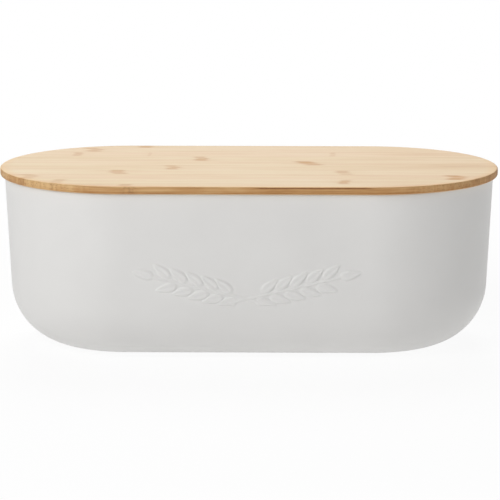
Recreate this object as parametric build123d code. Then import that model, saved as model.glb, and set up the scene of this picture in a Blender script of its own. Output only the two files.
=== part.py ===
from build123d import *
import os
from math import cos, radians, sin, tan

# Oblong bread box: a thin moulded tub with rounded ends, and a flat bamboo lid that lifts straight off.
# The lid is a two-layer board. Its upper layer overhangs the tub and rests on the rim.
# Its lower layer is smaller and drops into the mouth, so the lid cannot slide sideways.
# Both layers are bamboo strips glued edge to edge, and the joints of the two layers are staggered.
# Millimetres. +Z is up, +X along the box, and the front faces -Y.
# The origin is on the table, under the middle of the box.

# Lid, driving dimensions
lid_length = 350.0
lid_width = 180.0
top_layer_thickness = 5.5
under_layer_thickness = 5.5
strip_width = 19.7
least_strip_share = 0.3
lid_upper_bevel = 0.8
plug_lead_in_bevel = 1.5

# Tub, driving dimensions
tub_height = 119.5
wall = 3.0
floor_thickness = 4.0
draft_angle = 2.7
bottom_round = 44.0
foot_band_width = 8.0
foot_recess = 1.0

# How the lid sits on the tub
lid_overhang = 3.2
plug_clearance = 1.0

# How far a cutting block stands past what it cuts
overrun = 5.0

# Sizes that follow from the ones above
straight = lid_length - lid_width
rim_radius = lid_width / 2 - lid_overhang
wall_across = wall / cos(radians(draft_angle))
mouth_radius = rim_radius - wall_across
plug_radius = mouth_radius - plug_clearance
inner_round = bottom_round - floor_thickness


def corner_arc(rim, floor, radius):
    """The round between a drafted side that passes through `rim` at the top and a floor at height `floor`.

    Returns the arc, its lower end on the floor and its upper end on the side.
    """
    lean = radians(draft_angle)
    centre_height = floor + radius
    centre_radius = rim - (tub_height - centre_height) * tan(lean) - radius / cos(lean)
    arc = CenterArc((centre_radius, centre_height), radius, -90, 90 - draft_angle)
    lower_end = (centre_radius, floor)
    upper_end = (centre_radius + radius * cos(lean), centre_height - radius * sin(lean))
    return arc, lower_end, upper_end


def tub_section():
    """Half of the tub's cross-section, from mid-floor to rim: radius across, height up."""
    outer_arc, foot_edge, outer_side = corner_arc(rim_radius, 0, bottom_round)
    inner_arc, inner_floor, inner_side = corner_arc(mouth_radius, floor_thickness, inner_round)
    foot_inside = foot_edge[0] - foot_band_width
    underside = Polyline(
        foot_edge,
        (foot_inside, 0),
        (foot_inside - foot_recess, foot_recess),
        (0, foot_recess),
        (0, floor_thickness),
        inner_floor,
    )
    rim = Polyline(inner_side, (mouth_radius, tub_height), (rim_radius, tub_height), outer_side)
    return make_face(underside + inner_arc + rim + outer_arc)


def carry_round_oblong(section):
    """Carries a half-section along two straight sides and round two half-turn ends."""
    half_turn = revolve(Plane.XZ * section, axis=Axis.Z, revolution_arc=180)
    right_end = Pos(straight / 2, 0, 0) * Rot(0, 0, -90) * half_turn
    left_end = Pos(-straight / 2, 0, 0) * Rot(0, 0, 90) * half_turn
    back_side = Pos(-straight / 2, 0, 0) * extrude(Plane.YZ * section, amount=straight)
    front_side = mirror(back_side, Plane.XZ)
    return right_end + back_side + left_end + front_side


def lid_layer(radius, bottom, thickness):
    """A flat board with half-round ends, as one blank."""
    outline = SlotOverall(straight + 2 * radius, 2 * radius)
    return Pos(0, 0, bottom) * extrude(outline, amount=thickness)


def glue_joints(radius, first_joint):
    """Places across the board, from front to back, where one strip meets the next.

    Joints stand one strip width apart, out from `first_joint` on either side of the middle line.
    The outermost strip takes what is left of the width, and is never a sliver.
    """
    furthest = radius - least_strip_share * strip_width
    joints = []
    place = first_joint
    while place <= furthest:
        joints.append(place)
        joints.append(-place)
        place += strip_width
    return sorted(set(joints))


def saw_into_strips(blank, radius, bottom, thickness, joints):
    """The blank's strips, from front to back."""
    bounds = [-radius - overrun, *joints, radius + overrun]
    middle = bottom + thickness / 2
    strips = []
    for front, back in zip(bounds, bounds[1:]):
        reach = Box(straight + 2 * (radius + overrun), back - front, thickness + 2 * overrun)
        strips.append(blank & Pos(0, (front + back) / 2, middle) * reach)
    return strips


def top_layer_strips():
    """The layer that is seen: it overhangs the tub, and its upper edge is eased."""
    radius = lid_width / 2
    blank = lid_layer(radius, tub_height, top_layer_thickness)
    blank = chamfer(blank.edges().group_by(Axis.Z)[-1], lid_upper_bevel)
    joints = glue_joints(radius, 0)
    return saw_into_strips(blank, radius, tub_height, top_layer_thickness, joints)


def under_layer_strips():
    """The layer that drops into the tub's mouth, with a lead-in bevel round its lower edge."""
    bottom = tub_height - under_layer_thickness
    blank = lid_layer(plug_radius, bottom, under_layer_thickness)
    blank = chamfer(blank.edges().group_by(Axis.Z)[0], plug_lead_in_bevel)
    joints = glue_joints(plug_radius, strip_width / 2)
    return saw_into_strips(blank, plug_radius, bottom, under_layer_thickness, joints)


parts = {"tub": carry_round_oblong(tub_section())}
for number, strip in enumerate(top_layer_strips(), start=1):
    parts[f"lid_top_strip_{number}"] = strip
for number, strip in enumerate(under_layer_strips(), start=1):
    parts[f"lid_under_strip_{number}"] = strip

os.makedirs("parts", exist_ok=True)
for name, shape in parts.items():
    export_step(shape, f"parts/{name}.step")
print(f"{len(parts)} pieces, {tub_height + top_layer_thickness:.1f} mm high with the lid on")
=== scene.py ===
# %% [markdown]
# # A bread box: a moulded tub and a bamboo lid
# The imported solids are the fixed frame: every size below is read from them or named beside the piece that
# needs it. Blender works in metres here, in the same frame, so a piece goes where the solids say and nothing
# is fitted by eye.

# %% Load the frame and keep its box
import math

import bpy
import numpy as np
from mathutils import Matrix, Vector


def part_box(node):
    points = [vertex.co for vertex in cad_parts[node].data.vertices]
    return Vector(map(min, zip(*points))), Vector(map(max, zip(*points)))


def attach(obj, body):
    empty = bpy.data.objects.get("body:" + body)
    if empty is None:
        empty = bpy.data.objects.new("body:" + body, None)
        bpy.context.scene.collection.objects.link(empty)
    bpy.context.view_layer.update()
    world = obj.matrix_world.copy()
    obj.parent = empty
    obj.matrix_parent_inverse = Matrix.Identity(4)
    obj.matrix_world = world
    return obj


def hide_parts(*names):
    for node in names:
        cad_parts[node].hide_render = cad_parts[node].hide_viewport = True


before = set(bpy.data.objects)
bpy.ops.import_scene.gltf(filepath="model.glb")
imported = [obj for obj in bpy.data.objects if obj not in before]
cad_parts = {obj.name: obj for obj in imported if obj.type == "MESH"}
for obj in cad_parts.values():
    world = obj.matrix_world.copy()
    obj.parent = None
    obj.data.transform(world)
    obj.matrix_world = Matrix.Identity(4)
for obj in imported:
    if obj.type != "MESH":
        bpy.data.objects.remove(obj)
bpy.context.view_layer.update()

MM = 0.001
scene = bpy.context.scene
scene.view_settings.view_transform = "Standard"

# %% [markdown]
# ## The camera
# The photograph was taken from a little above the lid, almost square to the front, with a long lens. A camera
# can be set by eye, but here its distance, height and lens come from fitting the lid's oblong and the tub's
# outline. The lens is written for a frame 500 pixels wide, as the focal length in pixels over that width.

# %% Stand the camera where the photograph was taken
FRAME_PIXELS = 500
FOCAL_PIXELS = 2776.0
SENSOR_WIDTH = 36.0
CAMERA_DISTANCE = 1.9676
CAMERA_HEIGHT_ANGLE = math.radians(11.03)
CAMERA_SIDE_ANGLE = math.radians(1.0)
CAMERA_AIM = Vector((0.80, 0.0, 64.26)) * MM

lens = bpy.data.cameras.new("camera")
lens.sensor_width = SENSOR_WIDTH
lens.lens = SENSOR_WIDTH * FOCAL_PIXELS / FRAME_PIXELS
camera = bpy.data.objects.new("camera", lens)
scene.collection.objects.link(camera)
scene.camera = camera
towards_camera = Vector((
    math.sin(CAMERA_SIDE_ANGLE) * math.cos(CAMERA_HEIGHT_ANGLE),
    -math.cos(CAMERA_SIDE_ANGLE) * math.cos(CAMERA_HEIGHT_ANGLE),
    math.sin(CAMERA_HEIGHT_ANGLE),
))
camera.location = CAMERA_AIM + towards_camera * CAMERA_DISTANCE
camera.rotation_euler = towards_camera.to_track_quat("Z", "Y").to_euler()
print(f"lens {lens.lens:.1f} mm, camera at {tuple(round(c, 3) for c in camera.location)}")

# %% [markdown]
# ## Writing a finish as an expression
# A procedural finish is a tree of small nodes. Building it by hand in the node editor is fine for five nodes,
# but a bamboo strip takes over two hundred, so here a finish is written as arithmetic. `Value` wraps one
# output of a node, and adding or multiplying two of them adds the Math node that does it. Any other node
# comes from `Finish.node`.

# %% A value in a finish, with arithmetic
NOISE_MIDDLE = 0.5

class Value:
    """One output of a node. Arithmetic on it adds Math nodes to the same finish."""

    def __init__(self, finish, socket):
        self.finish = finish
        self.socket = socket

    def other(self, name):
        """Another output of the same node."""
        return Value(self.finish, self.socket.node.outputs[name])

    def math(self, operation, *inputs):
        return self.finish.node("ShaderNodeMath", {"operation": operation}, inputs)

    def __add__(self, other):
        return self.math("ADD", self, other)

    def __radd__(self, other):
        return self.math("ADD", other, self)

    def __sub__(self, other):
        return self.math("SUBTRACT", self, other)

    def __rsub__(self, other):
        return self.math("SUBTRACT", other, self)

    def __mul__(self, other):
        return self.math("MULTIPLY", self, other)

    def __rmul__(self, other):
        return self.math("MULTIPLY", other, self)

    def __truediv__(self, other):
        return self.math("DIVIDE", self, other)

    def __rtruediv__(self, other):
        return self.math("DIVIDE", other, self)

    def __abs__(self):
        return self.math("ABSOLUTE", self)

    def larger(self, other):
        return self.math("MAXIMUM", self, other)

    def swing(self, size):
        """A noise about its middle, times a size."""
        return (self - NOISE_MIDDLE) * size

print("a value adds its own Math nodes")

# %% A finish that makes nodes
# The Mix node has sockets for every kind of value. These are its sockets for colours.
MIX_SHARE, MIX_FIRST, MIX_SECOND, MIX_RESULT = 0, 6, 7, 2

class Finish:
    """The nodes of a material or a world, written as expressions."""

    def __init__(self, owner):
        owner.use_nodes = True
        self.owner = owner
        self.tree = owner.node_tree
        self.tree.nodes.clear()

    def node(self, kind, settings=None, inputs=(), output=0):
        """Adds a node: its settings first, then the values or links of its sockets. Returns one output."""
        made = self.tree.nodes.new(kind)
        for name, setting in (settings or {}).items():
            if name == "stops":
                self.set_stops(made.color_ramp, setting)
            else:
                setattr(made, name, setting)
        for key, value in inputs.items() if isinstance(inputs, dict) else enumerate(inputs):
            if isinstance(value, Value):
                self.tree.links.new(value.socket, made.inputs[key])
            else:
                made.inputs[key].default_value = value
        return Value(self, made.outputs[output]) if made.outputs else made

    def set_stops(self, ramp, stops):
        while len(ramp.elements) < len(stops):
            ramp.elements.new(1.0)
        for element, (place, paint) in zip(ramp.elements, stops):
            element.position = place
            element.color = paint

    def vector(self, x, y, z):
        return self.node("ShaderNodeCombineXYZ", None, (x, y, z))

    def split(self, vector):
        first = self.node("ShaderNodeSeparateXYZ", None, (vector,), "X")
        return first, first.other("Y"), first.other("Z")

    def noise(self, vector, scale, detail=2.0, roughness=0.5):
        sockets = {"Vector": vector, "Scale": scale, "Detail": detail, "Roughness": roughness}
        return self.node("ShaderNodeTexNoise", None, sockets)

    def smooth(self, value, low, high):
        """Rises from 0 at `low` to 1 at `high`, or falls where `low` is the larger."""
        sockets = {"Value": value, "From Min": low, "From Max": high}
        return self.node("ShaderNodeMapRange", {"interpolation_type": "SMOOTHSTEP"}, sockets)

    def ramp(self, value, stops):
        return self.node("ShaderNodeValToRGB", {"stops": stops}, (value,))

    def mix(self, share, first, second, blend="MIX"):
        settings = {"data_type": "RGBA", "blend_type": blend}
        sockets = {MIX_SHARE: share, MIX_FIRST: first, MIX_SECOND: second}
        return self.node("ShaderNodeMix", settings, sockets, MIX_RESULT)

    def place_in_mm(self):
        """The point on the object, in millimetres. It moves with the object."""
        place = self.node("ShaderNodeTexCoord", None, (), "Object")
        return self.node("ShaderNodeVectorMath", {"operation": "SCALE"}, {"Vector": place, "Scale": 1 / MM})

    def bump(self, height, depth, strength=1.0):
        """A normal from a height between 0 and 1 that stands for `depth` in metres."""
        return self.node("ShaderNodeBump", None, {"Strength": strength, "Distance": depth, "Height": height})

    def surface(self, **sockets):
        """Ends the finish in a Principled BSDF with these sockets."""
        named = {
            name.replace("_", " ").title().replace("Ior", "IOR"): value for name, value in sockets.items()
        }
        shader = self.node("ShaderNodeBsdfPrincipled", None, named)
        self.node("ShaderNodeOutputMaterial", None, {"Surface": shader})
        return self.owner

print("a finish makes nodes from expressions")

# %% Colours as a paint chart gives them
def colour(red, green, blue):
    """A colour in display values from 0 to 255, as the linear values that nodes take."""
    def linear(value):
        share = value / 255
        return share / 12.92 if share <= 0.04045 else ((share + 0.055) / 1.055) ** 2.4
    return linear(red), linear(green), linear(blue), 1.0

WHITE = colour(255, 255, 255)
print("white is", WHITE)

# %% [markdown]
# ## The studio
# The photograph has a white ground and soft light that is strongest from the front left. A white ground could
# be had by flooding the floor with light, but that would bleach the box too. Instead the camera sees the
# floor as mostly plain white, and the rest of it is an ordinary pale floor that takes the light and keeps the
# soft shadow. The floor glows a little, like a lit table, which fills in the box's lower edge. Of four soft
# lamps the key stands in front on the left, a weak one low in front, one behind, for the lid's top, and one
# on the right, for that end.

# %% Floor
FULL_STRENGTH = 1.0
FLOOR_SIZE = 40.0
FLOOR_DROP = 0.05 * MM
FLOOR_COLOUR = colour(216, 216, 216)
FLOOR_GLOW = 0.35
WHITE_NEAR = 0.86
SHADOW_REACH = (0.30, 0.75)

def seen_ray(finish):
    """1 for what the camera sees, straight, mirrored or through glass, and 0 for light that bounces."""
    straight = finish.node("ShaderNodeLightPath", None, (), "Is Camera Ray")
    mirrored, through_glass = straight.other("Is Glossy Ray"), straight.other("Is Transmission Ray")
    return straight.larger(mirrored).larger(through_glass)

def floor_finish():
    finish = Finish(bpy.data.materials.new("pale_floor"))
    place = finish.node("ShaderNodeTexCoord", None, (), "Object")
    away = finish.node("ShaderNodeVectorMath", {"operation": "LENGTH"}, {"Vector": place}, "Value")
    white_share = WHITE_NEAR + finish.smooth(away, *SHADOW_REACH) * (1 - WHITE_NEAR)
    paint = finish.node("ShaderNodeBsdfDiffuse", None, {"Color": FLOOR_COLOUR})
    glow = finish.node("ShaderNodeEmission", None, {"Color": WHITE, "Strength": FLOOR_GLOW})
    lit_paint = finish.node("ShaderNodeAddShader", None, (paint, glow))
    white = finish.node("ShaderNodeEmission", None, {"Color": WHITE, "Strength": FULL_STRENGTH})
    both = finish.node("ShaderNodeMixShader", None, (seen_ray(finish) * white_share, lit_paint, white))
    finish.node("ShaderNodeOutputMaterial", None, {"Surface": both})
    return finish.owner

half_floor = FLOOR_SIZE / 2
floor_mesh = bpy.data.meshes.new("floor")
corners = [(-half_floor, -half_floor), (half_floor, -half_floor),
           (half_floor, half_floor), (-half_floor, half_floor)]
floor_mesh.from_pydata([(x, y, -FLOOR_DROP) for x, y in corners], [], [(0, 1, 2, 3)])
floor = bpy.data.objects.new("floor", floor_mesh)
scene.collection.objects.link(floor)
floor.data.materials.append(floor_finish())
print(f"floor {FLOOR_SIZE:.0f} m across, {FLOOR_DROP / MM:.2f} mm under the foot")

# %% Light from all round, and four soft lamps
SKY_STRENGTH = 0.12
LAMP_SIZE = 1.3
LAMP_AIM = Vector((0.0, 0.0, 0.06))
LAMPS = {
    "key_lamp": (Vector((-1.2, -1.43, 1.23)), 23.8),
    "front_lamp": (Vector((-0.55, -2.04, 0.67)), 5.4),
    "back_lamp": (Vector((0.0, 1.3, 1.8)), 23.8),
    "right_lamp": (Vector((2.17, -0.19, 0.37)), 8.5),
}

def soft_lamp(name, place, power):
    lamp = bpy.data.lights.new(name, "AREA")
    lamp.shape = "SQUARE"
    lamp.size = LAMP_SIZE
    lamp.energy = power
    holder = bpy.data.objects.new(name, lamp)
    holder.location = place
    holder.rotation_euler = (place - LAMP_AIM).to_track_quat("Z", "Y").to_euler()
    scene.collection.objects.link(holder)

sky = Finish(bpy.data.worlds.new("studio"))
scene.world = sky.owner
soft_sky = sky.node("ShaderNodeBackground", None, {"Color": WHITE, "Strength": SKY_STRENGTH})
white_wall = sky.node("ShaderNodeBackground", None, {"Color": WHITE, "Strength": FULL_STRENGTH})
sky_mix = sky.node("ShaderNodeMixShader", None, (seen_ray(sky), soft_sky, white_wall))
sky.node("ShaderNodeOutputWorld", None, {"Surface": sky_mix})
for name, (place, power) in LAMPS.items():
    soft_lamp(name, place, power)
print(f"sky {SKY_STRENGTH}, lamps of {[power for _, power in LAMPS.values()]} W")

# %% [markdown]
# ## One way to make every shape
# The tub and each bamboo strip are closed skins that can be drawn as a pile of rings: each ring is the
# outline at one height, and neighbouring rings are joined by four-sided faces. Subdivision or a boolean could
# make the same shapes, but a loft of rings puts a point exactly where the drawing has one and always closes.

# %% Loft rings into a closed skin
SHARP_ANGLE = math.radians(32)

def loft(name, rings, material, body, node):
    """A closed mesh from rings of equally many points. The first and last ring are capped flat."""
    count = len(rings[0])
    faces = [tuple(reversed(range(count)))]
    for low in range(0, (len(rings) - 1) * count, count):
        for here in range(count):
            after = (here + 1) % count
            faces.append((low + here, low + after, low + count + after, low + count + here))
    faces.append(tuple(range((len(rings) - 1) * count, len(rings) * count)))
    mesh = bpy.data.meshes.new(name)
    mesh.from_pydata([point for ring in rings for point in ring], [], faces)
    mesh.shade_smooth()
    mesh.set_sharp_from_angle(angle=SHARP_ANGLE)
    mesh.polygons[0].use_smooth = False
    mesh.polygons[len(faces) - 1].use_smooth = False
    mesh.materials.append(material)
    piece = bpy.data.objects.new(name, mesh)
    scene.collection.objects.link(piece)
    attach(piece, body)
    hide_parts(node)
    return piece

def arc(centre, radius, start, end, steps):
    """Points of an arc, with angles in degrees and both ends included."""
    turns = [math.radians(start + (end - start) * step / steps) for step in range(steps + 1)]
    return [(centre[0] + radius * math.cos(turn), centre[1] + radius * math.sin(turn)) for turn in turns]

def spaced(start, end, step):
    """Evenly spaced values from start to end, about `step` apart and both ends included."""
    count = max(1, round(abs(end - start) / step))
    return [start + (end - start) * number / count for number in range(count + 1)]

print("loft, arc and spaced are ready")

# %% [markdown]
# ## The tub's section
# The tub is a thin moulding with drafted walls, a deep rounded lower edge and a foot band round a shallow
# recess. The draft lets it leave its mould. Its section is drawn once, from the recess under the floor out
# over the foot, up the outside, over the rim and down the inside to the floor, as radius against height.

# %% Sizes of the tub
_, tub_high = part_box("tub")
RIM_RADIUS = tub_high.y
HALF_STRAIGHT = tub_high.x - tub_high.y
TUB_HEIGHT = tub_high.z
WALL = 3.0 * MM
FLOOR_THICKNESS = 4.0 * MM
DRAFT = 2.7
BOTTOM_ROUND = 44.0 * MM
RIM_ROUND = 0.9 * MM
FOOT_BAND = 8.0 * MM
FOOT_RECESS = 1.0 * MM
FOOT_EASING = 0.5 * MM
FOOT_CORNER = FOOT_EASING / 3

lean = math.radians(DRAFT)
MOUTH_RADIUS = RIM_RADIUS - WALL / math.cos(lean)
INNER_ROUND = BOTTOM_ROUND - FLOOR_THICKNESS
print(f"rim radius {RIM_RADIUS / MM:.1f}, straight {2 * HALF_STRAIGHT / MM:.1f}, "
      f"height {TUB_HEIGHT / MM:.1f} mm")

# %% Where the section bends
def side_radius(edge_radius, height):
    """The drafted side's radius at a height, where it has `edge_radius` at the rim."""
    return edge_radius - (TUB_HEIGHT - height) * math.tan(lean)

def round_centre(edge_radius, radius):
    """The centre of a lower round of that radius, which meets the drafted side and the floor."""
    return side_radius(edge_radius, BOTTOM_ROUND) - radius / math.cos(lean), BOTTOM_ROUND

outer_centre = round_centre(RIM_RADIUS, BOTTOM_ROUND)
inner_centre = round_centre(MOUTH_RADIUS, INNER_ROUND)
foot_inside = outer_centre[0] - FOOT_BAND
rim_height = TUB_HEIGHT - RIM_ROUND
outer_rim = (side_radius(RIM_RADIUS, rim_height) - RIM_ROUND / math.cos(lean), rim_height)
inner_rim = (side_radius(MOUTH_RADIUS, rim_height) + RIM_ROUND / math.cos(lean), rim_height)
outer_side_low = BOTTOM_ROUND * (1 - math.sin(lean))
inner_side_low = BOTTOM_ROUND - INNER_ROUND * math.sin(lean)
print(f"foot band {foot_inside / MM:.1f} to {outer_centre[0] / MM:.1f} mm from the middle line, "
      f"flat wall from {outer_side_low / MM:.1f} mm up")

# %% Rows of the section, from under the floor to the floor inside
RELIEF_MIDDLE = 58.8 * MM
RELIEF_HALF_HEIGHT = 16.8 * MM
FINE_STEP = 0.55 * MM
PLAIN_STEP = 6.0 * MM
EASE_STEP = 1.5 * MM
ROUND_STEPS = 26
RIM_STEPS = 5

def side_rows(edge_radius, *heights):
    return [(side_radius(edge_radius, height), height) for height in heights]

relief_top = RELIEF_MIDDLE + RELIEF_HALF_HEIGHT
under_rows = [
    (foot_inside - FOOT_RECESS - PLAIN_STEP, FOOT_RECESS),
    (foot_inside - FOOT_RECESS - FOOT_EASING, FOOT_RECESS),
    (foot_inside - FOOT_RECESS, FOOT_RECESS - FOOT_CORNER),
    (foot_inside - FOOT_CORNER, FOOT_CORNER),
    (foot_inside + FOOT_EASING, 0.0),
    (outer_centre[0] - EASE_STEP, 0.0),
]
lower_rows = under_rows + arc(outer_centre, BOTTOM_ROUND, -90, -DRAFT, ROUND_STEPS)
relief_rows = side_rows(RIM_RADIUS, *spaced(outer_side_low, relief_top, FINE_STEP)[1:])
upper_rows = (
    side_rows(RIM_RADIUS, *spaced(relief_top, rim_height - EASE_STEP, PLAIN_STEP)[1:])
    + arc(outer_rim, RIM_ROUND, -DRAFT, 90, RIM_STEPS)
    + arc(inner_rim, RIM_ROUND, 90, 180 - DRAFT, RIM_STEPS)
    + side_rows(MOUTH_RADIUS, *spaced(rim_height - EASE_STEP, inner_side_low + EASE_STEP, PLAIN_STEP))
    + arc(inner_centre, INNER_ROUND, -DRAFT, -90, ROUND_STEPS)
    + [(inner_centre[0] - EASE_STEP, FLOOR_THICKNESS)]
)
section = lower_rows + relief_rows + upper_rows
print(f"{len(section)} rows, {len(relief_rows)} of them close together for the relief")

# %% [markdown]
# ## The moulded ears of wheat
# The front wall carries a low relief, less than a millimetre proud with soft edges, as a mould can give it.
# Bump in the material would fake it, but it would vanish at the outline and in the mesh, so the wall's own
# points are raised. Two stalks cross at the middle, and each ear is a row of grains either side of its stalk.
# Every shape is a height over the flat wall, and where shapes overlap the higher one wins.

# %% A bent line, and soft shapes over the wall
RELIEF_HEIGHT = 0.75
PIP_TAPER = 0.45
PIP_EDGE = 0.5
CREASE_DEPTH = 0.35
CREASE_WIDTH = 0.2
ROD_POINTS = 90
ROD_EDGE = 0.7

def bend(start, middle, end, share):
    """The point at a share of the way along a bent line, and the line's heading there."""
    start, middle, end = (np.array(point) for point in (start, middle, end))
    point = (1 - share) ** 2 * start + 2 * share * (1 - share) * middle + share ** 2 * end
    way = (1 - share) * (middle - start) + share * (end - middle)
    return point, math.atan2(way[1], way[0])

def soft_step(value, low, high):
    share = np.clip((value - low) / (high - low), 0, 1)
    return share * share * (3 - 2 * share)

def pip(x, up, place, heading, half_length, half_width):
    """A teardrop with a flat top, a soft edge and a crease along its middle: 1 at its top and 0 outside."""
    along = (x - place[0]) * math.cos(heading) + (up - place[1]) * math.sin(heading)
    across = (up - place[1]) * math.cos(heading) - (x - place[0]) * math.sin(heading)
    taper = half_width * (1 - PIP_TAPER * np.clip(along / half_length, -1, 1))
    dome = 1 - (along / half_length) ** 2 - (across / taper) ** 2
    furrow = np.exp(-(across / (CREASE_WIDTH * half_width)) ** 2)
    return soft_step(dome, 0, PIP_EDGE) * (1 - CREASE_DEPTH * furrow)

def rod(x, up, line, half_width):
    """A rounded rod along a bent line: 1 along its top and 0 outside."""
    nearest = np.full(np.shape(x), np.inf)
    for share in np.linspace(0, 1, ROD_POINTS):
        (near_x, near_up), _ = bend(*line, share)
        nearest = np.minimum(nearest, np.hypot(x - near_x, up - near_up))
    return soft_step(half_width - nearest, 0, half_width * ROD_EDGE)

print(f"relief {RELIEF_HEIGHT} mm high")

# %% One ear with its stalk, and the pair of them
STALK = ((-17.0, -16.0), (16.0, -9.0), (66.0, 3.5))
STALK_HALF_WIDTH = 1.4
STALK_RISE = 0.8
PAIRS = 5
EAR_SHARES = (0.40, 0.93)
PIP_LENGTH = 8.0
PIP_WIDTH = 3.3
PIP_SPREAD = 5.4
PIP_TURN = math.radians(27)
TIP_STEP = 0.6 * PIP_LENGTH

def step_from(place, heading, length):
    return place + length * np.array((math.cos(heading), math.sin(heading)))

def ear(x, up):
    shapes = [STALK_RISE * rod(x, up, STALK, STALK_HALF_WIDTH)]
    first, last = EAR_SHARES
    for number in range(2 * PAIRS):
        side = 1 if number % 2 else -1
        place, heading = bend(*STALK, first + (last - first) * number / (2 * PAIRS - 1))
        place = step_from(place, heading + side * math.pi / 2, PIP_SPREAD)
        shapes.append(pip(x, up, place, heading + side * PIP_TURN, PIP_LENGTH, PIP_WIDTH))
    tip, heading = bend(*STALK, 1.0)
    shapes.append(pip(x, up, step_from(tip, heading, TIP_STEP), heading, PIP_LENGTH, PIP_WIDTH))
    return np.maximum.reduce(shapes)

def relief(x, up):
    """Height of the relief in mm at places across and up the wall, in mm from its middle."""
    return RELIEF_HEIGHT * np.maximum(ear(x, up), ear(-x, up))

print("grains on each ear:", 2 * PAIRS + 1)

# %% [markdown]
# ## The tub, once round
# In plan the tub is an oblong: two straight sides and two half-turn ends. Each column of points stands on the
# middle line and looks out along one heading, so the same section serves the sides and the ends. Columns and
# rows stand close together only where the relief needs them, which keeps the mesh light.

# %% Columns round the oblong
END_STEPS = 52
BACK_STEP = 12.0 * MM

def end_columns(middle, start, steps):
    return [(middle, math.radians(start + 180 * step / steps)) for step in range(steps)]

back_places = [HALF_STRAIGHT, *spaced(HALF_STRAIGHT - EASE_STEP, EASE_STEP - HALF_STRAIGHT, BACK_STEP)]
front_places = spaced(-HALF_STRAIGHT, HALF_STRAIGHT, FINE_STEP)[:-1]
columns = (
    end_columns(HALF_STRAIGHT, -90, END_STEPS)
    + [(place, math.radians(90)) for place in back_places]
    + end_columns(-HALF_STRAIGHT, 90, END_STEPS)
    + [(place, math.radians(270)) for place in front_places]
)
print(f"{len(columns)} columns, {len(front_places)} of them across the front")

# %% Raise the relief and close the skin
front_x = np.array(front_places) / MM
relief_up = np.array([(height - RELIEF_MIDDLE) / MM / math.cos(lean) for _, height in relief_rows])
raised = relief(*np.meshgrid(front_x, relief_up)) * MM

def tub_ring(row, radius, height):
    ring = []
    for number, (place, heading) in enumerate(columns):
        rise = 0.0
        on_front = number - (len(columns) - len(front_places))
        on_relief = row - len(lower_rows)
        if on_front >= 0 and 0 <= on_relief < len(relief_rows):
            rise = raised[on_relief, on_front]
        reach = radius + rise * math.cos(lean)
        out_x, out_y = reach * math.cos(heading), reach * math.sin(heading)
        ring.append((place + out_x, out_y, height - rise * math.sin(lean)))
    return ring

tub_rings = [tub_ring(row, radius, height) for row, (radius, height) in enumerate(section)]
print(f"the relief stands up to {raised.max() / MM:.2f} mm proud")

# %% [markdown]
# ## The moulding's finish
# The tub is a pale and slightly warm grey with a satin skin: the mould's fine texture scatters the light, so
# there is no sharp highlight. A flat colour would look like a computer's plastic. Here slow clouds change the
# tone by a few parts in a hundred, a fine pebbling lifts the surface by a few hundredths of a millimetre, and
# the foot is rubbed a little grey.

# %% Colours and noises of the moulding
MOULDING_PALE = colour(224, 223, 221)
MOULDING_DEEP = colour(219, 218, 216)
MOULDING_STOPS = [(0.1, MOULDING_DEEP), (0.9, MOULDING_PALE)]
MOULDING_RUBBED = colour(188, 184, 176)
MOULDING_TONE = 0.5
MOULDING_NOISES = {
    "cloud": {"scale": 0.02, "detail": 3.0},
    "pebble": {"scale": 0.75, "detail": 3.0, "roughness": 0.6},
    "grit": {"scale": 4.5},
    "scuff": {"scale": 0.4, "detail": 4.0, "roughness": 0.7},
}
MOULDING_CLOUD_SWING = 1.2
GRIT_SWING = 0.5
SCUFF_STARTS = (0.42, 0.66)
RUBBED_HEIGHTS = (0.8, 0.1)
RUBBED_DEPTH = 0.5
print("noises of the moulding:", ", ".join(MOULDING_NOISES))

# %% Satin moulding
PEBBLE_DEPTH = 0.03 * MM
PEBBLE_SHARE = 0.7
GRIT_SHARE = 0.3
MOULDING_ROUGHNESS = 0.50
PEBBLE_ROUGHNESS = 0.16
RUBBED_POLISH = 0.08
MOULDING_SPECULAR = 0.4

def moulding_finish():
    finish = Finish(bpy.data.materials.new("satin_moulding"))
    place = finish.place_in_mm()
    _, _, z = finish.split(place)
    cloud, pebble, grit, scuff = (finish.noise(place, **noise) for noise in MOULDING_NOISES.values())
    tone = MOULDING_TONE + cloud.swing(MOULDING_CLOUD_SWING) + grit.swing(GRIT_SWING)
    paint = finish.ramp(tone, MOULDING_STOPS)
    rubbed = finish.smooth(scuff, *SCUFF_STARTS) * finish.smooth(z, *RUBBED_HEIGHTS)
    return finish.surface(
        base_color=finish.mix(rubbed * RUBBED_DEPTH, paint, MOULDING_RUBBED),
        roughness=MOULDING_ROUGHNESS + pebble.swing(PEBBLE_ROUGHNESS) - rubbed * RUBBED_POLISH,
        normal=finish.bump(pebble * PEBBLE_SHARE + grit * GRIT_SHARE, PEBBLE_DEPTH),
        specular_ior_level=MOULDING_SPECULAR,
    )

tub_piece = loft("tub_shell", tub_rings, moulding_finish(), "tub", "tub")
print(f"tub skin: {len(tub_piece.data.vertices)} points, {len(tub_piece.data.polygons)} faces")

# %% [markdown]
# ## The bamboo strips
# The lid is two boards of bamboo strips glued edge to edge, the lower one smaller so that it drops into the
# mouth. Each strip is its own closed skin: the strip's part of the oblong outline, lofted from its lower face
# to its upper one. The outline steps in at the arris, so only the board's outer edge is eased and the glued
# sides stay flush.

# %% Outline of one strip, and its edges
END_POINTS = 14
ARRIS_STEPS = 5

def strip_rings(front, back, radius, half_straight, levels):
    """Rings of a strip that lies between two places across the board. Each level is an inset and a height."""
    rings = []
    for inset, height in levels:
        reach = radius - inset
        first = math.asin(max(front / reach, -1.0))
        last = math.asin(min(back / reach, 1.0))
        turns = [first + (last - first) * point / END_POINTS for point in range(END_POINTS + 1)]
        right = [(half_straight + reach * math.cos(turn), reach * math.sin(turn), height) for turn in turns]
        rings.append(right + [(-x, y, z) for x, y, z in reversed(right)])
    return rings

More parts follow.
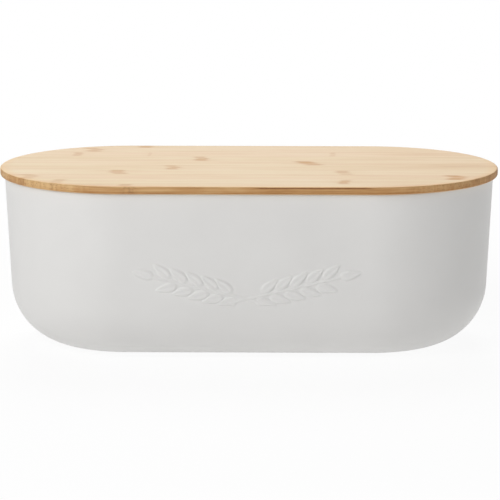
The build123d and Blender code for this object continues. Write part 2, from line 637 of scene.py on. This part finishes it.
def eased_levels(bottom, top, lower, upper):
    """Levels of an edge with rounds of those two radii, lowest first."""
    low_round = arc((lower, bottom + lower), lower, 270, 180, ARRIS_STEPS)
    high_round = arc((upper, top - upper), upper, 180, 90, ARRIS_STEPS)
    return low_round + high_round

def bevelled_levels(bottom, top, bevel):
    return [(bevel, bottom), (0.0, bottom + bevel), (0.0, top)]

print("a strip's ring has", 2 * (END_POINTS + 1), "points")

# %% [markdown]
# ## How bamboo looks
# A bamboo strip is pale and straight-grained, and these boards are a little deeper in tone towards their
# right-hand end. Fibres run its whole length, some in darker bundles, and every forearm's length there is a
# node, where the
# cane had a joint: a ragged brown patch right across the strip, streaked along the fibres, with two fine
# ridges in it.
# Sawn edges drink more varnish and go golden brown, and so does the arris along the front. Towards the back
# the tint is taken off, so the back arris stays paler: painted light, standing for the pale sheen it shows
# there.
# Along the strip an edge shows lines, and across the end it shows the cut fibre bundles as dots and ticks.
# Photographs of boards could be wrapped round the lid, but drawn from formulas the grain keeps sharp at any
# size.
# One function makes the finish, and each strip gets its own tone, seed and nodes.

# %% What differs from strip to strip
class Look:
    """How one strip differs from its neighbours.

    Tone and warmth are about 0. The sawn edge has a tone at the left end and at the right end: partly its own
    tone, and partly painted light and shade, lighter at the left end and darker at the right end, which turns
    from the key lamp.
    Each node is a place along the strip in mm, a strength and a length, which is 1 for an ordinary node.
    Each shade is a soft darker patch: its place along and across the board, its half length and
    half width, all in mm, and its depth.
    A vein is a dark line on the upper edge, between two places along the strip.
    """

    def __init__(self, tone=0.0, warmth=0.0, edge=(0.0, 0.0), nodes=(), shades=(), vein=None):
        self.tone = tone
        self.warmth = warmth
        self.edge = edge
        self.nodes = nodes
        self.shades = shades
        self.vein = vein

print("a strip's look: tone, warmth, edge, nodes, shades, vein")

# %% Looks of the upper strips, from the front
FRONT_SHADES = [(-120.0, -92.0, 95.0, 24.0, 0.3), (125.0, -92.0, 80.0, 22.0, 0.28)]
# The edge pairs are partly the strips' own tone and partly painted light and shade: most left ends are
# painted a little lighter and most right ends darker, as the lid's right end turns from the key lamp.
TOP_LOOKS = [
    Look(tone=0.02, warmth=-0.05, edge=(0.10, -0.03), nodes=[(-79.5, 0.8, 0.8)],
         shades=FRONT_SHADES, vein=(2.0, 88.0)),
    Look(tone=0.02, warmth=-0.15, edge=(0.18, -0.06), nodes=[(-128.7, 0.7, 0.8), (66.5, 1.1, 0.7)],
         shades=[*FRONT_SHADES, (-105.0, -69.0, 65.0, 11.0, 0.08)]),
    Look(tone=-0.03, warmth=0.1, edge=(-0.02, -0.15), nodes=[(143.0, 1.7, 1.1), (-151.0, 0.8, 1.0)],
         shades=[(-45.0, -39.8, 45.0, 2.5, 0.16)]),
    Look(tone=0.08, warmth=-0.05, edge=(0.08, -0.20), nodes=[(-89.5, 1.1, 1.0), (67.0, 0.9, 0.9)]),
    Look(tone=-0.03, warmth=-0.1, edge=(0.05, -0.34), nodes=[(-53.5, 1.0, 0.8)],
         shades=[(152.0, -3.0, 70.0, 10.0, 0.20), (-40.0, -2.0, 30.0, 3.0, 0.1)]),
    Look(tone=0.03, warmth=0.05, edge=(0.05, -0.24), nodes=[(43.5, 1.6, 1.2)],
         shades=[(155.0, 3.0, 60.0, 9.0, 0.16)]),
    Look(tone=-0.01, warmth=-0.1, edge=(-0.05, 0.00), nodes=[(-35.0, 1.5, 0.9)],
         shades=[(105.0, 30.0, 60.0, 8.0, 0.05), (15.0, 33.0, 65.0, 9.0, 0.09)]),
    Look(tone=0.02, warmth=0.25, edge=(0.05, 0.00),
         nodes=[(-124.5, 0.8, 0.6), (59.5, 0.6, 0.4), (-72.5, 0.4, 0.25)],
         shades=[(110.0, 50.0, 70.0, 10.0, 0.10)]),
    Look(tone=0.03, warmth=0.2, edge=(-0.05, 0.00), nodes=[(-114.0, 1.1, 1.0)],
         shades=[(95.0, 59.5, 28.0, 4.0, 0.14)]),
    Look(tone=-0.02, warmth=-0.05, nodes=[(-77.5, 1.2, 0.9)]),
]
print("strips above with a look:", len(TOP_LOOKS))

# %% Looks of the lower strips, by chance
UNDER_COUNT = 9
UNDER_SEED = 11
UNDER_SPREAD = 0.1
UNDER_NODES = 2
UNDER_NODE_SPREAD = 130
UNDER_NODE_STRENGTH = 0.8
UNDER_NODE_LENGTH = 1.0

def chance_look(chance):
    tone, warmth = chance.uniform(-UNDER_SPREAD, UNDER_SPREAD, 2).tolist()
    places = chance.uniform(-UNDER_NODE_SPREAD, UNDER_NODE_SPREAD, UNDER_NODES).tolist()
    return Look(tone, warmth, nodes=[(place, UNDER_NODE_STRENGTH, UNDER_NODE_LENGTH) for place in places])

under_chance = np.random.default_rng(UNDER_SEED)
UNDER_LOOKS = [chance_look(under_chance) for _ in range(UNDER_COUNT)]
print("strips below with a look:", len(UNDER_LOOKS))

# %% A grain drawn out along the strip
class Grain:
    """A noise with a stretch along, across and up the strip. The strip's seed slides it along."""

    def __init__(self, along, across=1.0, up=1.0, slide=1.0, scale=1.0, detail=2.0, roughness=0.5):
        self.stretch = (along, across, up)
        self.slide = slide
        self.noise = {"scale": scale, "detail": detail, "roughness": roughness}

    def draw(self, finish, place, seed):
        """The noise at a place, which is along, across and up in mm."""
        along, across, up = (value * stretch for value, stretch in zip(place, self.stretch))
        return finish.noise(finish.vector(along + seed * self.slide, across, up), **self.noise)

print("a small stretch along the strip makes long fibres")

# %% Tone of a strip's broad face, from its fibres
CLOUD = Grain(0.011, across=0.08, slide=3.1)
BROAD = Grain(0.05, slide=2.3, scale=0.17)
STREAK = Grain(0.02, slide=7.3, scale=1.1, detail=3.0, roughness=0.6)
FIBRE = Grain(0.02, slide=7.3, scale=4.2)
BUNDLE = Grain(0.03, scale=2.3, detail=1.0)
TONE_SWING = 0.5
FIBRE_SWING = 0.3
BUNDLE_STARTS = (0.60, 0.74)
BUNDLE_DEPTH = 0.14
FACE_TONE = 0.625
TONE_FALL_RIGHTWARD = (20.0, 180.0)
TONE_FALL_DEPTH = 0.13

def soft_patch(finish, along, across, place, place_across, half_length, half_width):
    """1 at the middle of a patch and 0 outside it."""
    near = finish.smooth(abs(along - place), half_length, 0.0)
    return near * finish.smooth(abs(across - place_across), half_width, 0.0)

def face_tone(finish, place, seed, look):
    """Tone of the face about 0.6, the streaks in it and the height of its fibres."""
    along, across, _ = place
    cloud, broad, streak, fibre, bundle = (
        grain.draw(finish, place, seed) for grain in (CLOUD, BROAD, STREAK, FIBRE, BUNDLE))
    waves = cloud.swing(TONE_SWING) + broad.swing(TONE_SWING) + streak.swing(TONE_SWING)
    waves = waves + fibre.swing(FIBRE_SWING)
    # The tone falls a little towards the right-hand end of the board.
    tone = FACE_TONE + look.tone - finish.smooth(along, *TONE_FALL_RIGHTWARD) * TONE_FALL_DEPTH + waves
    tone = tone - finish.smooth(bundle, *BUNDLE_STARTS) * BUNDLE_DEPTH
    for *patch, depth in look.shades:
        tone = tone - soft_patch(finish, along, across, *patch) * depth
    return tone, streak, (streak + fibre) / 2

print(f"the root end is {TONE_FALL_DEPTH} deeper in tone")

# %% Marks of a strip's nodes
NODE_RAGGED = Grain(0.0, slide=3.7, scale=0.16, detail=3.0)
NODE_STROKE = Grain(0.03, slide=4.1, scale=0.24, detail=1.0)
NODE_TICK = Grain(0.30, across=1.1, roughness=0.6)
NODE_DEPTH = 0.58
NODE_REACH = (8.5, 1.5)
NODE_SIDE = (1.02, 0.80)
NODE_SHIFT = 22.0
STROKE_STARTS = (0.34, 0.60)
PATCH_LEAST = 0.25
STROKE_SHARE = 0.55
TICK_SHARE = 0.3
RIDGE_AWAY = 3.0
RIDGE_REACH = (1.6, 0.2)
RIDGE_SHARE = 0.12
TAIL_REACH = (26.0, 5.0)
TAIL_STARTS = (0.45, 0.70)
TAIL_SHARE = 0.3

def node_marks(finish, place, from_middle, streak, seed, look):
    """How deeply each node stains the face. `from_middle` is 1 at the strip's long edges."""
    along, _, _ = place
    ragged = NODE_RAGGED.draw(finish, place, seed).swing(NODE_SHIFT)
    strokes = finish.smooth(NODE_STROKE.draw(finish, place, seed), *STROKE_STARTS)
    ticks = NODE_TICK.draw(finish, place, seed)
    inside = finish.smooth(from_middle, *NODE_SIDE)
    marks = []
    for middle, strength, length in look.nodes:
        away = abs(along - middle + ragged * length) / length
        patch = finish.smooth(away, *NODE_REACH) * (PATCH_LEAST + strokes * STROKE_SHARE + ticks * TICK_SHARE)
        ridges = finish.smooth(abs(away - RIDGE_AWAY), *RIDGE_REACH) * ticks
        tail = finish.smooth(away, *TAIL_REACH) * finish.smooth(streak, *TAIL_STARTS)
        mark = ((patch + ridges * RIDGE_SHARE) * inside).larger(tail * TAIL_SHARE)
        marks.append(mark * (NODE_DEPTH * strength))
    return marks

print("nodes reach", NODE_REACH[0], "mm either way")

# %% Colour of the face, with its nodes
FACE_STOPS = [
    (0.10, colour(213, 174, 128)),
    (0.36, colour(232, 203, 165)),
    (0.60, colour(241, 218, 184)),
    (0.90, colour(247, 230, 201)),
]
FACE_YELLOW = (1.0, 0.99, 0.91, 1.0)
FACE_PINK = (1.02, 0.955, 0.93, 1.0)
WARMTH = Grain(0.05, slide=5.7, scale=0.2)
WARMTH_MIDDLE = 0.5
WARMTH_SWING = 1.6
NODE_BROWN = colour(196, 134, 54)

def bamboo_face(finish, place, from_middle, seed, look):
    """Colour of a strip's broad face, and the height of its fibres."""
    tone, streak, fibres = face_tone(finish, place, seed, look)
    paint = finish.ramp(tone, FACE_STOPS)
    warm = WARMTH_MIDDLE + look.warmth + WARMTH.draw(finish, place, seed).swing(WARMTH_SWING)
    paint = finish.mix(1.0, paint, finish.mix(warm, FACE_YELLOW, FACE_PINK), "MULTIPLY")
    for mark in node_marks(finish, place, from_middle, streak, seed, look):
        paint = finish.mix(mark, paint, NODE_BROWN)
    return paint, fibres

print("face tones from", FACE_STOPS[0][0], "to", FACE_STOPS[-1][0])

# %% Sawn edge of a strip: the vein under its arris, and its nodes
VEIN_BROWN = colour(112, 66, 34)
VEIN_FADE = 9.0
VEIN_RISE = (0.74, 0.80)
VEIN_FALL = (0.90, 0.85)
VEIN_LEAST = 0.55
VEIN_FLECKS = 0.6
FLECK = Grain(0.35, up=0.6)
FLECK_STARTS = (0.40, 0.62)
EDGE_NODE_REACH = (8.0, 2.0)
EDGE_NODE_DEPTH = 0.4

def edge_veins(finish, along, up, seed, look, height_share, paint):
    """Adds the dark vein under the upper arris, and the nodes where they reach the edge."""
    flecks = FLECK.draw(finish, (along, seed, up), seed)
    if look.vein:
        start, end = look.vein
        run = finish.smooth(along, start, start + VEIN_FADE) * finish.smooth(along, end, end - VEIN_FADE)
        line = finish.smooth(height_share, *VEIN_RISE) * finish.smooth(height_share, *VEIN_FALL)
        paint = finish.mix(run * line * (VEIN_LEAST + flecks * VEIN_FLECKS), paint, VEIN_BROWN)
    for middle, strength, _ in look.nodes:
        near = finish.smooth(abs(along - middle), *EDGE_NODE_REACH) * finish.smooth(flecks, *FLECK_STARTS)
        paint = finish.mix(near * (EDGE_NODE_DEPTH * strength), paint, VEIN_BROWN)
    return paint

print("a vein fades over", VEIN_FADE, "mm")

# %% Sawn edge of a strip: lines along it, dots across its end
EDGE_STOPS = [
    (0.10, colour(146, 101, 56)),
    (0.45, colour(186, 140, 89)),
    (0.90, colour(214, 178, 128)),
]
EDGE_TONE = 0.48
EDGE_TURN = (-60.0, 60.0)
# Painted shade: the lower part of the sawn edge faces down and is painted darker for the shade under the
# board, with a redder hue that the bamboo has there.
EDGE_SHADED_LOW = (0.6, 0.1)
EDGE_LOW_SHADE_AND_RED = (0.88, 0.81, 0.74, 1.0)
EDGE_LINE = Grain(0.02, across=0.1, up=0.9, detail=4.0, roughness=0.65)
EDGE_BLOTCH = Grain(0.05, across=0.05, up=0.3)
END_TICK = Grain(0.45, across=0.45, up=0.12, detail=3.0, roughness=0.6)
LINE_SWING = 1.4
LINE_LOSS = 1.0
BLOTCH_SWING = 0.5
TICK_SWING = 0.9
END_LIFT = 0.14
DOT_BROWN = colour(138, 94, 54)
DOT_SCALE = 0.7
DOT_SIZE = (0.42, 0.12)
DOT_DEPTH = 0.4

def bamboo_edge(finish, place, seed, look, end_on, height_share):
    """Colour of a strip's sawn edge. `end_on` is 1 where the saw crossed the fibres."""
    along, across, up = place
    lines, blotch, ticks = (
        grain.draw(finish, place, seed) for grain in (EDGE_LINE, EDGE_BLOTCH, END_TICK))
    # The edge's tone runs from the left end's to the right end's: partly own tone, partly painted light and
    # shade.
    left, right = look.edge
    own_tone = left + finish.smooth(along, *EDGE_TURN) * (right - left)
    line_swing = LINE_SWING - end_on * LINE_LOSS
    grain = lines.swing(line_swing) + blotch.swing(BLOTCH_SWING) + ticks.swing(end_on) * TICK_SWING
    paint = finish.ramp(EDGE_TONE + own_tone + end_on * END_LIFT + grain, EDGE_STOPS)
    sockets = {"Vector": finish.vector(seed, across, up), "Scale": DOT_SCALE}
    dots = finish.smooth(finish.node("ShaderNodeTexVoronoi", None, sockets), *DOT_SIZE)
    paint = finish.mix(dots * end_on * DOT_DEPTH, paint, DOT_BROWN)
    paint = edge_veins(finish, along, up, seed, look, height_share, paint)
    # The lower part of the edge is painted darker for its shade, and a little redder.
    return finish.mix(finish.smooth(height_share, *EDGE_SHADED_LOW), paint, EDGE_LOW_SHADE_AND_RED, "MULTIPLY")

print("edge tones from", EDGE_STOPS[0][0], "to", EDGE_STOPS[-1][0])

# %% Glue lines and the golden arris
GLUE_HALF_WIDTH = 0.25
GLUE_BROWN = colour(170, 122, 78)
GLUE_DEPTH = 0.18
ARRIS_TINT = (1.0, 0.92, 0.80, 1.0)
ARRIS_REACH = 9.0
# The arris tint is full along the front and taken off towards the back: the paler back arris is painted
# sheen.
FRONT_GOLD_BACK_SHEEN = (70.0, -30.0)

def from_outline(finish, along, y, radius):
    """How far a point lies inside the board's oblong outline, in mm."""
    past_straight = (abs(along) - HALF_STRAIGHT / MM).larger(0.0)
    way = finish.vector(past_straight, y, 0.0)
    out = finish.node("ShaderNodeVectorMath", {"operation": "LENGTH"}, (way,), "Value")
    return radius / MM - out

def with_joints(finish, along, y, low, high, radius, paint):
    """Adds the glue lines at a strip's long edges, and the golden arris round the board."""
    at_front = finish.smooth(abs(y - low.y / MM), GLUE_HALF_WIDTH, 0.0)
    at_back = finish.smooth(abs(y - high.y / MM), GLUE_HALF_WIDTH, 0.0)
    paint = finish.mix(at_front.larger(at_back) * GLUE_DEPTH, paint, GLUE_BROWN)
    near_arris = finish.smooth(from_outline(finish, along, y, radius), ARRIS_REACH, 0.0)
    # Golden along the front. Towards the back the tint fades, which leaves painted sheen on the paler back
    # arris.
    return finish.mix(near_arris * finish.smooth(y, *FRONT_GOLD_BACK_SHEEN), paint, ARRIS_TINT, "MULTIPLY")

print("the arris is golden over", ARRIS_REACH, "mm")

# %% The whole finish of one strip
WOBBLE = Grain(0.012)
WOBBLE_WIDTH = 2.4
SAWN_SLOPE = (0.97, 0.60)
END_SLOPE = (0.08, 0.55)
FIBRE_DEPTH = 0.05 * MM
BAMBOO_ROUGHNESS = 0.50
FIBRE_ROUGHNESS = 0.2
SAWN_ROUGHNESS = 0.08
BAMBOO_SPECULAR = 0.28

def bamboo_finish(name, low, high, radius, seed, look):
    """A strip's material. `low` and `high` are its box's corners, and `radius` is half the board's width."""
    finish = Finish(bpy.data.materials.new(name))
    along, y, z = finish.split(finish.place_in_mm())
    across = y + WOBBLE.draw(finish, (along, 0.0, 0.0), seed).swing(WOBBLE_WIDTH)
    from_middle = abs(y - (low.y + high.y) / 2 / MM) / ((high.y - low.y) / 2 / MM)
    paint, fibres = bamboo_face(finish, (along, across, z), from_middle, seed, look)
    paint = with_joints(finish, along, y, low, high, radius, paint)
    outward = finish.node("ShaderNodeTexCoord", None, (), "Normal")
    normal_x, _, normal_z = finish.split(outward)
    sawn = finish.smooth(abs(normal_z), *SAWN_SLOPE)
    end_on = finish.smooth(abs(normal_x), *END_SLOPE)
    height_share = (z - low.z / MM) / ((high.z - low.z) / MM)
    edge = bamboo_edge(finish, (along, y, z), seed, look, end_on, height_share)
    return finish.surface(
        base_color=finish.mix(sawn, paint, edge),
        roughness=BAMBOO_ROUGHNESS + fibres.swing(FIBRE_ROUGHNESS) + sawn * SAWN_ROUGHNESS,
        normal=finish.bump(fibres, FIBRE_DEPTH),
        specular_ior_level=BAMBOO_SPECULAR,
    )

print(f"fibres stand {FIBRE_DEPTH / MM:.2f} mm")

# %% Upper layer
TOP_ARRIS = 1.2 * MM
TOP_LOWER_ARRIS = 1.5 * MM

def layer_boxes(stem, count):
    return [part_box(f"{stem}_{number}") for number in range(1, count + 1)]

top_boxes = layer_boxes("lid_top_strip", len(TOP_LOOKS))
lid_radius = top_boxes[-1][1].y
for number, ((low, high), look) in enumerate(zip(top_boxes, TOP_LOOKS), start=1):
    levels = eased_levels(low.z, high.z, TOP_LOWER_ARRIS, TOP_ARRIS)
    rings = strip_rings(low.y, high.y, lid_radius, HALF_STRAIGHT, levels)
    skin = bamboo_finish(f"bamboo_top_{number}", low, high, lid_radius, float(number), look)
    loft(f"lid_top_bamboo_{number}", rings, skin, "lid", f"lid_top_strip_{number}")
print(f"{len(top_boxes)} strips in the upper layer, {2 * lid_radius / MM:.0f} mm across")

# %% Lower layer
PLUG_BEVEL = 1.5 * MM
UNDER_SEEDS_AFTER = 20.0

under_boxes = layer_boxes("lid_under_strip", len(UNDER_LOOKS))
plug_radius = under_boxes[-1][1].y
for number, ((low, high), look) in enumerate(zip(under_boxes, UNDER_LOOKS), start=1):
    rings = strip_rings(low.y, high.y, plug_radius, HALF_STRAIGHT, bevelled_levels(low.z, high.z, PLUG_BEVEL))
    skin = bamboo_finish(f"bamboo_under_{number}", low, high, plug_radius, UNDER_SEEDS_AFTER + number, look)
    loft(f"lid_under_bamboo_{number}", rings, skin, "lid", f"lid_under_strip_{number}")
print(f"{len(under_boxes)} strips in the lower layer, {2 * plug_radius / MM:.1f} mm across")
